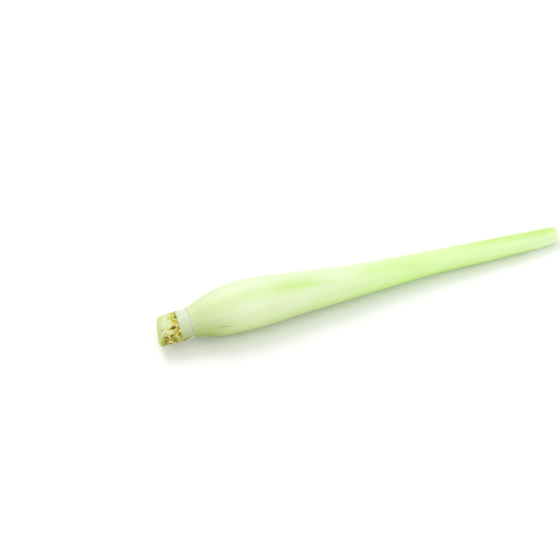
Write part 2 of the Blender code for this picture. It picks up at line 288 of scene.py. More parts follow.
def laid(s, angle, radius):
    """Points round the stalk, in metres. Near its ends the sections lean as they were cut.

    Underneath, every layer is pressed up as far as the outermost one is by the surface."""
    cos, sin = around(angle)
    unpressed = CORE_SINKS * (1 - ease(radius / CORE_RADIUS))
    lowest = np.maximum(sheath_radius(s) - radius - unpressed, 0)
    root_share = ease(1 - s / ROOT_CUT_REACH)
    top_share = ease((s - LENGTH + TOP_CUT_REACH) / TOP_CUT_REACH)
    for share, (to_back, upwards) in ((root_share, ROOT_CUT), (top_share, TOP_CUT)):
        s = s + share * radius * (to_back * cos + upwards * sin)
    along = unit(centre(s + 0.5) - centre(s - 0.5))
    back = unit(np.cross((0, 0, 1), along))
    up = np.cross(along, back)
    places = centre(s) + radius[:, None] * (cos[:, None] * back + sin[:, None] * up)
    inside = s > OUTER_STARTS
    places[:, 2] = np.where(inside, np.maximum(places[:, 2], lowest), places[:, 2])
    return (places + ROOT_AT) * MM


def lay_one(s, angle, radius):
    return Vector(laid(*(np.array([float(value)]) for value in (s, angle, radius)))[0])


def flat_sheet(along, across, segments, sides):
    """A flat sheet with s and turn as its x and y."""
    bm = bmesh.new()
    bmesh.ops.create_grid(bm, x_segments=segments, y_segments=sides, size=0.5)
    bmesh.ops.translate(bm, verts=bm.verts, vec=(0.5, 0.5, 0))
    for vert in bm.verts:
        vert.co.x = along(vert.co.x)
        vert.co.y = across[0] + (across[1] - across[0]) * vert.co.y
    return bm


def flat_wall(along, across, segments, sides):
    """A flat sheet with another below it, whose depth is 1, and a rim all round."""
    bm = flat_sheet(along, across, segments, sides)
    made = bmesh.ops.extrude_face_region(bm, geom=bm.faces[:], use_keep_orig=True)["geom"]
    inside = [item for item in made if isinstance(item, bmesh.types.BMVert)]
    bmesh.ops.translate(bm, verts=inside, vec=(0, 0, 1))
    return bm


def crowded(start, end, crowding):
    """Runs from start to end as its share goes from 0 to 1, with short steps near both ends."""

    def place(share):
        eased = share - crowding * math.sin(2 * math.pi * share) / (2 * math.pi)
        return start + (end - start) * eased

    return place


def note(bm, **marks):
    """Keeps the values of each mark as an attribute."""
    for name, values in marks.items():
        layer = bm.verts.layers.float.new(name)
        for vert, value in zip(bm.verts, values):
            vert[layer] = value


def flat_places(bm):
    """The flat places of the sheet's points: s, turn and depth."""
    return np.array([vert.co for vert in bm.verts]).T


def flat_leaf(start, top, crowding, turn, segments, sides):
    """A leaf's flat wall, with its flat places kept as a UV map and its cut end as an attribute."""
    bm = flat_wall(crowded(start, top, crowding), (0, turn), segments, sides)
    uv = bm.loops.layers.uv.new("leaf")
    for face in bm.faces:
        for loop in face.loops:
            loop[uv].uv = (loop.vert.co.x / LEAF_MAP[0], loop.vert.co.y / LEAF_MAP[1])
    note(bm, cut=[float(vert.co.x > top - CUT_FACE) for vert in bm.verts])
    return bm


def roll_up(bm, places):
    """Moves each point of the flat sheet to its place round the stalk."""
    for vert, place in zip(bm.verts, places):
        vert.co = place


def weld(bm):
    """Makes one point of those that the rolling up has brought together."""
    bmesh.ops.remove_doubles(bm, verts=bm.verts, dist=MERGE * MM)


def round_edges(bm, offset):
    """Rounds the wall's rims."""
    limit = math.radians(SHARP_EDGE)
    shortest = offset * SHORTEST_RIM
    rims = [
        edge for edge in bm.edges
        if edge.is_manifold and edge.calc_face_angle() > limit and edge.calc_length() > shortest
    ]
    bmesh.ops.bevel(
        bm, geom=rims, offset=offset, offset_type="OFFSET", affect="EDGES", segments=2, profile=0.5,
        clamp_overlap=True, material=-1,
    )


def show(name, bm, finish, slot, *nodes, rounding=0.0):
    """Makes the bmesh a piece of the stalk, which stands for these nodes."""
    bmesh.ops.recalc_face_normals(bm, faces=bm.faces)
    if rounding:
        round_edges(bm, rounding * MM)
    mesh = bpy.data.meshes.new(name)
    bm.to_mesh(mesh)
    bm.free()
    mesh.shade_smooth()
    mesh.materials.append(finish)
    piece = bpy.data.objects.new(name, mesh)
    bpy.context.scene.collection.objects.link(piece)
    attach(piece, BODY)
    if nodes:
        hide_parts(*nodes)


class Value:
    """A node's output. Arithmetic on it adds Math nodes."""

    def __init__(self, shader, socket):
        self.shader = shader
        self.socket = socket

    def __add__(self, other):
        return self.shader.math("ADD", self, other)

    def __sub__(self, other):
        return self.shader.math("SUBTRACT", self, other)

    def __mul__(self, other):
        return self.shader.math("MULTIPLY", self, other)

    def __rsub__(self, other):
        return self.shader.math("SUBTRACT", other, self)

    __radd__ = __add__
    __rmul__ = __mul__


class Shader:
    """A material whose nodes are added one by one."""

    def __init__(self, name):
        self.material = bpy.data.materials.new(name)
        self.material.use_nodes = True
        self.tree = self.material.node_tree
        self.tree.nodes.clear()

    def node(self, kind, settings=None, sockets=None, output=0):
        """Adds a node: its settings first, then its sockets' values or links. Gives one of its outputs."""
        made = self.tree.nodes.new(kind)
        for name, value in (settings or {}).items():
            if name == "stops":
                self.set_stops(made.color_ramp, value)
            else:
                setattr(made, name, value)
        for key, value in (sockets or {}).items():
            if isinstance(value, Value):
                self.tree.links.new(value.socket, made.inputs[key])
            else:
                made.inputs[key].default_value = value
        return Value(self, made.outputs[output])

    @staticmethod
    def set_stops(ramp, stops):
        for i, (position, colour) in enumerate(stops):
            stop = ramp.elements[i] if i < 2 else ramp.elements.new(position)
            stop.position = position
            stop.color = (*colour, 1)

    def math(self, operation, a, b):
        return self.node("ShaderNodeMath", {"operation": operation}, {0: a, 1: b})

    def mix(self, share, a, b):
        """The colour a, turning to b as the share goes from 0 to 1."""
        a, b = (colour if isinstance(colour, Value) else (*colour, 1) for colour in (a, b))
        return self.node("ShaderNodeMix", {"data_type": "RGBA"}, {0: share, 6: a, 7: b}, 2)

    def between(self, value, low, high):
        """0 below low and 1 above high, eased between them."""
        settings = {"interpolation_type": "SMOOTHSTEP"}
        return self.node("ShaderNodeMapRange", settings, {"Value": value, "From Min": low, "From Max": high})

    def tint(self, skin, colour, mask, low, high, most):
        """The skin, turning to the colour as the mask goes from low to high, and by this share at most."""
        return self.mix(self.between(mask, low, high) * most, skin, colour)

    def ramp(self, value, *stops):
        """A colour that goes from stop to stop as the value grows."""
        return self.node("ShaderNodeValToRGB", {"stops": stops}, {"Fac": value})

    def place(self):
        return self.node("ShaderNodeTexCoord", output="Object")

    def flat_place(self):
        return self.node("ShaderNodeUVMap", {"uv_map": "leaf"})

    def part(self, vector, axis):
        return self.node("ShaderNodeSeparateXYZ", None, {0: vector}, axis)

    def attribute(self, name):
        return self.node("ShaderNodeAttribute", {"attribute_name": name}, output="Fac")

    def stretched(self, vector, scale, shift=(0, 0, 0)):
        return self.node("ShaderNodeMapping", None, {"Vector": vector, "Scale": scale, "Location": shift})

    def noise(self, vector, scale, detail=2.0, roughness=0.5, shift=(0, 0, 0)):
        """Noise, with one scale for all directions or one for each."""
        if isinstance(scale, tuple):
            vector, scale = self.stretched(vector, scale, shift), 1.0
        sockets = {"Vector": vector, "Scale": scale, "Detail": detail, "Roughness": roughness}
        return self.node("ShaderNodeTexNoise", None, sockets)

    def to_vein(self, vector, scale, randomness):
        """How far each place is from the nearest of many scattered veins."""
        sockets = {"Vector": vector, "Scale": scale, "Randomness": randomness}
        return self.node("ShaderNodeTexVoronoi", None, sockets, "Distance")

    def bump(self, height, distance, strength=1.0):
        sockets = {"Height": height, "Distance": distance, "Strength": strength}
        return self.node("ShaderNodeBump", None, sockets)

    def finish(self, colour, roughness, normal=None, **constants):
        """The surface: its colour, roughness and normal vary, and the rest is the same all over."""
        sockets = {"Base Color": colour, "Roughness": roughness}
        if normal is not None:
            sockets["Normal"] = normal
        for name, value in constants.items():
            sockets[name.replace("_", " ")] = value
        surface = self.node("ShaderNodeBsdfPrincipled", None, sockets)
        output = self.tree.nodes.new("ShaderNodeOutputMaterial")
        self.tree.links.new(surface.socket, output.inputs["Surface"])
        return self.material


# Where the outer leaf starts, in metres along the stalk, and how far it reaches.
OUTER_FROM, OUTER_REACH = -0.0895, 0.1955
FREE_EDGE = (1.112, 1.136)  # where the outer leaf pales towards its free edge, in turns
# Light sinks a little way into every fresh leaf and the stem.
JUICY = {
    "Subsurface_Weight": 0.25,
    "Subsurface_Radius": (1.1, 1.15, 0.5),
    "Subsurface_Scale": 0.0016,
    "Specular_IOR_Level": 0.6,
}


def cut_edge(shader, skin, colours):
    """A leaf's skin, and its cut edge with the ends of its veins."""
    across_cut = shader.stretched(shader.place(), (0, 1, 1))
    veins = 1 - shader.between(shader.to_vein(across_cut, 2600.0, 0.75), 0.12, 0.3)
    face = shader.tint(colours.cut, colours.inner, shader.noise(across_cut, 700.0), 0.4, 0.66, 0.4)
    face = shader.mix(veins * 0.4, face, colours.vein)
    return shader.mix(shader.between(shader.attribute("cut"), 0.35, 0.95), skin, face)


def outer_finish(colours):
    """The outer leaf: creamy at its base, yellow-green above, with fine veins that run its whole length."""
    shader = Shader("outer_sheath")
    place, flat = shader.place(), shader.flat_place()
    along = (shader.part(place, "X") - OUTER_FROM) * (1 / OUTER_REACH)
    lap = shader.between(shader.part(flat, "Y"), *FREE_EDGE)
    fine = shader.noise(flat, (1.6, 120, 1))
    streaks = shader.noise(flat, (1.3, 17, 1), 3.0, shift=(3.1, 0.4, 0))
    patches = shader.noise(place, (34, 70, 70))
    bloom = shader.noise(place, (110, 1000, 1000), 3.0)
    # Its base colour carries painted shade.
    skin = shader.ramp(
        along, (0.0, colours.base), (0.16, colours.bulb), (0.34, colours.bulb), (0.56, colours.shaft),
        (1.0, colours.top),
    )
    # Below, the leaf's own greener underside with painted shade in it, darkest at the base and along the
    # shaft's lower edge.
    under = shader.ramp(
        along, (0.0, colours.base_under), (0.16, colours.bulb_under), (0.55, colours.shaft_under)
    )
    skin = shader.mix(shader.attribute("under") * (streaks * 0.3 + 0.75), skin, under)
    most = shader.between(along, 0.02, 0.4) * 0.40 + 0.10
    skin = shader.tint(skin, colours.streak, streaks * 0.55 + patches * 0.45, 0.46, 0.70, most)
    # Pale waxy bloom, and painted highlight along the top of the bulb.
    skin = shader.mix(shader.attribute("bloom") * (bloom * 0.8 + 0.5), skin, colours.bloom)
    skin = shader.mix(shader.attribute("green") * (patches * 0.8 + 0.3), skin, colours.streak)
    skin = shader.tint(skin, colours.streak, fine, 0.52, 0.72, 0.16)
    skin = shader.mix((1 - shader.between(fine, 0.30, 0.46)) * 0.14, skin, colours.edge)
    skin = shader.tint(skin, colours.edge, bloom, 0.48, 0.72, 0.12)
    skin = shader.mix(shader.attribute("speck") * 0.55, skin, colours.amber)
    # Painted shade in the deepest crease.
    skin = shader.mix(shader.attribute("crease"), skin, colours.base_under)
    pale = (1 - shader.between(along, 0.000, 0.007)) * 0.4 + shader.between(along, 0.986, 0.995) * 0.56
    skin = shader.mix(pale, skin, colours.edge)
    skin = shader.mix(lap * 0.6, skin, colours.edge)
    normal = shader.bump(fine + streaks * 0.5 + bloom * 0.3, 0.00005, 0.6)
    roughness = fine * 0.12 + patches * 0.10 + 0.30
    return shader.finish(cut_edge(shader, skin, colours), roughness, normal, **JUICY)


def inner_finish(name, colours, skin_colour):
    """A leaf inside."""
    shader = Shader(name)
    fine = shader.noise(shader.flat_place(), (1.6, 70, 1))
    skin = shader.tint(skin_colour, colours.edge, fine, 0.35, 0.65, 0.3)
    colour = cut_edge(shader, skin, colours)
    return shader.finish(colour, fine * 0.15 + 0.35, shader.bump(fine, 0.00004, 0.5), **JUICY)


def stump_finish(name, colours, sockets):
    """The white skin of the old leaf base, golden where it is torn."""
    shader = Shader(name)
    place, torn = shader.place(), shader.attribute("torn")
    grain = shader.noise(place, (260, 1500, 1500), 3.0)
    bands = shader.noise(place, (900, 160, 160))
    skin = shader.tint(colours.stump, colours.bulb, grain, 0.45, 0.7, 0.35)
    skin = shader.tint(skin, colours.stem, bands, 0.50, 0.7, 0.4)
    # Painted shade on the lower side of the old leaf base.
    skin = shader.mix(shader.attribute("under") * (bands * 0.3 + 0.52), skin, colours.base_under)
    skin = shader.tint(skin, colours.gold, torn + (grain - 0.5) * 0.7, 0.35, 0.8, 0.75)
    skin = shader.tint(skin, colours.brown, torn + (grain - 0.5) * 0.9, 0.95, 1.15, 0.8)
    normal = shader.bump(grain + bands * 0.6, 0.00006, 0.6)
    return shader.finish(skin, grain * 0.15 + 0.34, normal, **sockets)


def stem_side(shader, colours, grain, blotch):
    """The skin of the stem's end: cream, torn and golden between brown scars, and greener at its rim."""
    torn, brown = shader.attribute("torn"), shader.attribute("brown")
    under = shader.attribute("under")
    strands = shader.noise(shader.place(), (1100, 260, 260), 3.0, shift=(0.3, 0.1, 0.7))
    gold = shader.tint(colours.gold, colours.amber, blotch, 0.46, 0.60, 0.85)
    gold = shader.mix(under * (shader.between(grain, 0.44, 0.54) * 0.8 + 0.15), gold, colours.olive)
    gold = shader.tint(gold, colours.cream, strands, 0.50, 0.62, 0.75)
    skin = shader.tint(colours.stem, colours.stump, blotch, 0.4, 0.7, 0.6)
    skin = shader.mix(under * 0.45, skin, colours.gold)
    skin = shader.mix(shader.between(torn + (grain - 0.5) * 0.9, 0.22, 0.5), skin, gold)
    uneven = brown + (grain - 0.5) * 0.7
    stained = shader.mix(under * 0.8, colours.amber, colours.olive)
    for colour, low, high, most in (
        (stained, 0.25, 0.55, 0.85), (colours.brown, 0.55, 0.85, 0.9), (colours.pit, 0.88, 1.15, 0.9),
    ):
        skin = shader.tint(skin, colour, uneven, low, high, most)
    greener = 1 - shader.between(shader.attribute("rim") + (blotch - 0.5) * 0.25, 0.98, 1.12)
    return shader.mix(greener * (1 - torn) * 0.8, skin, colours.rim)


def stem_face(shader, colours, across_cut):
    """The stem's pale green cut face, with the ends of its veins and a ring near its rim."""
    cloud = shader.noise(across_cut, 420.0, 4.0, 0.6)
    wavy_rim = shader.attribute("rim") + (cloud - 0.5) * 0.08
    ring = shader.between(wavy_rim, 0.74, 0.80) * (1 - shader.between(wavy_rim, 0.81, 0.85))
    veins = 1 - shader.between(shader.to_vein(across_cut, 1500.0, 0.9), 0.10, 0.32)
    cut = shader.tint(colours.face, colours.stem, cloud, 0.35, 0.7, 0.6)
    cut = shader.mix(veins * 0.45, cut, colours.vein)
    cut = shader.mix(ring * 0.45, cut, colours.vein)
    return shader.mix(shader.between(wavy_rim, 0.81, 0.87), cut, colours.rim)


def stem_finish(colours):
    """The stem's end, which is cut across."""
    shader = Shader("basal_stem")
    place = shader.place()
    grain = shader.noise(place, (1500, 800, 800), 4.0, 0.6)
    blotch = shader.noise(place, (560, 420, 420), 3.0, 0.6)
    knife = shader.noise(place, (0, 260, 2600))
    cut = stem_face(shader, colours, shader.stretched(place, (0, 1, 1)))
    skin = stem_side(shader, colours, grain, blotch)
    colour = shader.mix(shader.between(shader.attribute("rim"), 0.93, 0.99), cut, skin)
    normal = shader.bump(grain + blotch + knife * 0.35, 0.00012, 0.8)
    return shader.finish(colour, grain * 0.25 + 0.40, normal, **JUICY)


def fibre_finish(name, first, second):
    """Dry torn fibres and flakes."""
    shader = Shader(name)
    spots = shader.noise(shader.place(), 900.0)
    colour = shader.mix(shader.between(spots, 0.42, 0.6), first, second)
    return shader.finish(colour, spots * 0.2 + 0.5, Specular_IOR_Level=0.35)


def floor_finish(colour):
    """A plain pale floor."""
    shader = Shader("floor")
    grain = shader.noise(shader.place(), 400.0)
    lighter = tuple(min(channel * 1.02, 1) for channel in colour)
    return shader.finish(shader.mix(grain, colour, lighter), grain * 0.1 + 0.65, Specular_IOR_Level=0.2)


class LEMONGRASS_OT_outer_leaf(Operator):
    """Makes the outer leaf sheath, which laps over itself along the back"""

    bl_idname = "lemongrass.outer_leaf"
    bl_label = "Outer Leaf"
    bl_options = {"REGISTER", "UNDO"}

    SEGMENTS, SIDES, CROWDING = 150, 276, 0.72
    ROUNDING = 0.05
    RIM_AT, RIM_THICKNESS, RIM_TAPER = 14.5, 0.12, 2.4
    RIM_DRAWN_IN, RIM_REACH = 0.43, 0.75
    BEAD_AT, BEAD_WIDTH = 15.4, 0.55
    CRUSHED, CRUSHED_OVER = 0.22, 1.0  # the cut top is pressed in a little by the knife
    EDGE_TAPER, BODY_TAPER = 14.0, 70.0  # degrees over which the free edge and the thick part taper
    SHOWS_THROUGH_AT = 232.0  # where the next leaf's edge shows through, as a turn
    # Where the leaf is darker below, with its greener underside and painted shade: the angle of the middle,
    # and the width in degrees.
    UNDER_AT, UNDER_WIDTH = 245.0, 62.0
    BASE_UNDER_AT, BASE_UNDER_WIDTH = 208.0, 62.0
    LOWER_EDGE_AT, LOWER_EDGE_WIDTH = 214.0, 34.0
    # Creases: where they start, their angle, their length, how many degrees they drift, and their depth.
    CREASES = [
        (23.5, 163, 10, 10, 0.2), (60, 120, 26, -3, 0.05), (88, 150, 34, 3, 0.05), (52, 320, 20, 4, 0.07),
    ]
    # Green patches: s, angle, length, width in degrees, and how green.
    PATCHES = [
        (66, 107, 12, 18, 0.85), (48, 108, 16, 9, 0.2), (84, 126, 12, 7, 0.25), (119, 99, 18, 15, 0.45),
        (198, 76, 24, 26, 0.8), (183, 74, 24, 30, 0.9), (58, 318, 12, 10, 0.5), (96, 20, 20, 12, 0.45),
        (150, 340, 22, 16, 0.45), (106, 106, 9, 20, 0.45),
    ]
    # Patches of pale waxy bloom and of painted highlight, the highlight along the top of the bulb, given in
    # the same way.
    BLOOMS = [
        (42, 74, 24, 19, 0.45), (44, 136, 22, 20, 0.25), (88, 112, 16, 30, 0.25), (66, 146, 16, 18, 0.2),
        (46, 340, 20, 24, 0.4), (50, 30, 20, 16, 0.35), (203, 168, 10, 36, 0.45), (95, 70, 40, 16, 0.4),
    ]
    # Small brown specks: s, angle, length, and how strong.
    SPECKS = [
        (40.5, 73, 0.8, 0.7), (22, 152, 0.5, 0.4), (36, 176, 2.2, 0.3), (33, 350, 0.9, 0.7),
        (57, 40, 1.1, 0.6),
    ]
    SPECK_WIDTH = 0.35

    def angle(self, turn):
        return LAP_EDGE - LAP_WIDTH - 360 + turn

    def beside(self, s, turn, at):
        """How far beside this angle a point is, in millimetres."""
        return turn_between(self.angle(turn), at) * np.radians(1) * sheath_radius(s)

    def relief(self, s, turn, leaves):
        """How far the outside stands out or in."""
        drift = lumps(s / 45, turn / 60, 0.3)
        ribs = np.cos(np.radians(turn) * leaves.ribs + 5 * drift) * leaves.rib_depth / MM
        ribs = ribs * (0.6 + 0.8 * lumps(s / 20, turn / 25, 4.2)) * ease((s - 17) / 8)
        swell = leaves.swell / MM * (lumps(s / 26, turn / 65, 1.7) + 0.4 * lumps(s / 11, turn / 30, 8.9))
        past = turn - self.SHOWS_THROUGH_AT - 10 * lumps(s / 40, 0.5, 2.2)
        step = leaves.step / MM * (ease(past / 5) - ease((past - 6) / 70)) * ease((s - 40) / 20)
        relief = ribs + swell * ease((s - 15) / 6) + step
        for start, at, length, drifts, depth in self.CREASES:
            share = np.clip((s - start) / length, 0, 1)
            beside = self.beside(s, turn, at + drifts * share) + 0.25 * lumps(s / 2.5, at, 0.6)
            groove = hump(beside, 0.3) - 0.4 * hump(beside - 0.6, 0.4)
            relief = relief - depth * np.sin(np.pi * share) * groove
        bead = leaves.bead / MM * hump(s - self.BEAD_AT, self.BEAD_WIDTH)
        notches = 0.03 * hump(s - self.RIM_AT, 0.8) * lumps(turn / 14, 0.2, 5.5)
        rim = -self.RIM_DRAWN_IN * hump(s - self.RIM_AT, self.RIM_REACH) + notches
        crushed = -self.CRUSHED * ease((s - LENGTH + self.CRUSHED_OVER) / self.CRUSHED_OVER) ** 2
        return relief + bead + rim + crushed

    def places(self, leaves, s, turn, depth):
        """Where the flat leaf's points lie. The end of its turn lies on its start."""
        lap = leaves.lap_thickness / MM
        edge = leaves.edge_thickness / MM
        lift = lap + leaves.gap / MM
        rise = ease((turn - 360 + LAP_RISE) / LAP_RISE)
        body = ease(turn / self.BODY_TAPER) * ease((360 - turn) / self.BODY_TAPER)
        full = self.RIM_THICKNESS + outer_thickness(s) * ease((s - self.RIM_AT) / self.RIM_TAPER)
        lapping = np.minimum(lap, full)
        untapered = lapping + (full - lapping) * body
        near_edge = np.minimum(turn, LAPPED_TURN - turn)
        thickness = edge + (untapered - edge) * ease(near_edge / self.EDGE_TAPER) ** 0.6
        pressed_on = 0.85 * (untapered - thickness) * (turn > 360)
        wavy = (5 * lumps(s / 17, 0.1, 0.9) + 2 * lumps(s / 5, 0.7, 3.3)) * ease((turn - 340) / 70)
        loose = 0.14 * np.clip(lumps(s / 13, 0.4, 7.1), 0, 1) * ease((turn - 385) / 25)
        radius = sheath_radius(s) + lift * rise * ease((s - self.RIM_AT + 1.5) / 3) + loose - pressed_on
        relief = self.relief(s, turn, leaves)
        lies_on = rise > 0
        below = self.relief(s[lies_on], turn[lies_on] - 360, leaves)
        relief[lies_on] += rise[lies_on] * (below - relief[lies_on])
        radius = radius + (1 - depth * (1 - rise)) * relief - depth * thickness
        nibble = 0.14 * lumps(turn / 9, 1.3, 0.4) * hump(s - self.RIM_AT, 1.0)
        return laid(s + nibble, self.angle(turn) + wavy, radius)

    def patchy(self, s, turn, patches):
        """How strong these patches are at each point."""
        share = np.zeros_like(s)
        for at, angle, length, width, strength in patches:
            beside = turn_between(self.angle(turn), angle) / width
            share = np.maximum(share, strength * hump(np.hypot((s - at) / length, beside), 1))
        return share

    def specked(self, s, turn):
        """How brown the specks are at each point."""
        speck = np.zeros_like(s)
        for at, angle, length, strength in self.SPECKS:
            share = np.hypot((s - at) / length, self.beside(s, turn, angle) / self.SPECK_WIDTH)
            speck = np.maximum(speck, strength * hump(share, 1))
        return speck

    def creased(self, s, turn):
        """How dark the painted shade in the deepest crease is at each point."""
        start, at, length, drifts, _ = self.CREASES[0]
        share = np.clip((s - start) / length, 0, 1)
        return 0.5 * np.sin(np.pi * share) * hump(self.beside(s, turn, at + drifts * share), 0.4)

    def darker_below(self, s, angle):
        """How dark each point is: underneath, along the lower edge of the shaft and at the base."""
        # The darkening is the greener underside with painted shade in it, and painted shade alone along the
        # shaft's lower edge.
        under = hump(turn_between(angle, self.UNDER_AT), self.UNDER_WIDTH) * (1 - ease((s - 160) / 35))
        lower_edge = hump(turn_between(angle, self.LOWER_EDGE_AT), self.LOWER_EDGE_WIDTH)
        lower_edge = 0.85 * lower_edge * ease((s - 78) / 16) * (1 - ease((s - 188) / 14))
        at_base = hump(turn_between(angle, self.BASE_UNDER_AT), self.BASE_UNDER_WIDTH)
        at_base = (1 - ease((s - 17) / 30)) * at_base
        return np.maximum(np.maximum(under, lower_edge), at_base)

    def execute(self, context):
        bm = flat_leaf(self.RIM_AT, LENGTH, self.CROWDING, LAPPED_TURN, self.SEGMENTS, self.SIDES)
        s, turn, depth = flat_places(bm)
        note(
            bm,
            green=self.patchy(s, turn, self.PATCHES),
            bloom=self.patchy(s, turn, self.BLOOMS),
            speck=self.specked(s, turn),
            crease=self.creased(s, turn),
            under=self.darker_below(s, self.angle(turn)),
        )
        roll_up(bm, self.places(context.scene.lemongrass_leaves, s, turn, depth))
        finish = outer_finish(context.scene.lemongrass_colours)
        show("outer_leaf", bm, finish, "outer_sheath", "outer_sheath", rounding=self.ROUNDING)
        return {"FINISHED"}


class LEMONGRASS_OT_inner_leaves(Operator):
    """Makes the two leaf sheaths inside the outer one, whose edges are thin and slide over each other"""

    bl_idname = "lemongrass.inner_leaves"
    bl_label = "Inner Leaves"
    bl_options = {"REGISTER", "UNDO"}

    SEGMENTS, SIDES, CROWDING = 96, 112, 0.8
    ROUNDING = 0.02
    OVERLAP = 75.0
    THINNEST = 0.05

    def places(self, leaves, radius_at, thickness_at, lap_at, s, turn, depth):
        """Where the flat leaf's points lie."""
        gap = leaves.gap / MM
        full = thickness_at(s) + SOLIDS_CLEARANCE - gap
        to_outside = np.clip(1 - turn / self.OVERLAP, 0, 1) * full
        to_inside = np.clip(1 - (turn - 360) / self.OVERLAP, 0, 1) * full
        outside = np.where(turn < self.OVERLAP, to_outside + gap / 2, 0)
        outside = np.minimum(outside, full - self.THINNEST)
        inside = np.where(turn > 360, to_inside - gap / 2, full)
        inside = np.maximum(inside, self.THINNEST)
        radius = radius_at(s) + GROWN - outside - depth * (inside - outside)
        at_cut = ease((s - LENGTH + CUT_WAVES_IN) / CUT_WAVES_IN)
        uneven = 0.14 * lumps(turn / 40, 0.6, thickness_at(30) * 9) * at_cut
        return laid(s + uneven, lap_at + turn, radius)

    def make(self, context, name, start, stands_out, radius_at, thickness_at, lap_at):
        leaves = context.scene.lemongrass_leaves
        colours = context.scene.lemongrass_colours
        turn = 360 + self.OVERLAP
        bm = flat_leaf(start, LENGTH + stands_out, self.CROWDING, turn, self.SEGMENTS, self.SIDES)
        roll_up(bm, self.places(leaves, radius_at, thickness_at, lap_at, *flat_places(bm)))
        finish = inner_finish(name, colours, colours.inner)
        show(name.replace("sheath", "leaf"), bm, finish, "inner_sheaths", name, rounding=self.ROUNDING)

    def execute(self, context):
        self.make(context, "second_sheath", 24.0, 0.2, second_radius, second_thickness, LAP_EDGE + 170)
        self.make(context, "third_sheath", 30.0, 0.45, third_radius, third_thickness, LAP_EDGE - 20)
        return {"FINISHED"}


def second_radius(s):
    return sheath_radius(s) - outer_thickness(s) - SOLIDS_CLEARANCE


def third_radius(s):
    return second_radius(s) - second_thickness(s) - SOLIDS_CLEARANCE


def heart_radius(s):
    return third_radius(s) - third_thickness(s) - SOLIDS_CLEARANCE


class LEMONGRASS_OT_heart_leaf(Operator):
    """Makes the youngest leaf, rolled up more than twice in the middle"""

    bl_idname = "lemongrass.heart_leaf"
    bl_label = "Heart Leaf"
    bl_options = {"REGISTER", "UNDO"}

    STARTS, STANDS_OUT = 62.0, 0.7
    SEGMENTS, SIDES, CROWDING = 80, 132, 0.8
    ROUNDING = 0.012
    TURNS, FIRST_AT = 2.4, LAP_EDGE + 120
    HOLLOW, CORE = 0.26, 0.14

    def places(self, leaves, s, turn, depth):
        """Where the flat leaf's points lie. It starts in the middle of the roll, where its edge is thin."""
        outermost = heart_radius(s) + GROWN
        pitch = (outermost - self.HOLLOW) / self.TURNS
        wall = (pitch - leaves.gap / MM) * ease((turn + 40) / 60)
        radius = outermost - pitch * (360 * self.TURNS - turn) / 360 - depth * wall
        at_cut = ease((s - LENGTH + CUT_WAVES_IN) / CUT_WAVES_IN)
        uneven = 0.12 * lumps(turn / 60, 0.6, 2.4) * at_cut
        return laid(s + uneven, self.FIRST_AT + turn, np.maximum(radius, self.CORE))

    def execute(self, context):
        leaves = context.scene.lemongrass_leaves
        colours = context.scene.lemongrass_colours
        top, turn = LENGTH + self.STANDS_OUT, 360 * self.TURNS
        bm = flat_leaf(self.STARTS, top, self.CROWDING, turn, self.SEGMENTS, self.SIDES)
        roll_up(bm, self.places(leaves, *flat_places(bm)))
        finish = inner_finish("heart_leaf", colours, colours.heart)
        show("heart_roll", bm, finish, "heart_leaf", "heart_leaf", rounding=self.ROUNDING)
        return {"FINISHED"}


def root_scars():
    """Where the roots were: s, angle, radius and height of each scar."""
    draw = random.Random(SEED)
    scars = []
    for ring_at, count in SCAR_RINGS:
        for i in range(count):
            s = ring_at + draw.uniform(-SCAR_JITTER, SCAR_JITTER)
            angle = 360 * i / count + draw.uniform(-SCAR_TURN_JITTER, SCAR_TURN_JITTER)
            scars.append((s, angle, draw.uniform(*SCAR_RADIUS), draw.uniform(*SCAR_HEIGHT)))
    return scars


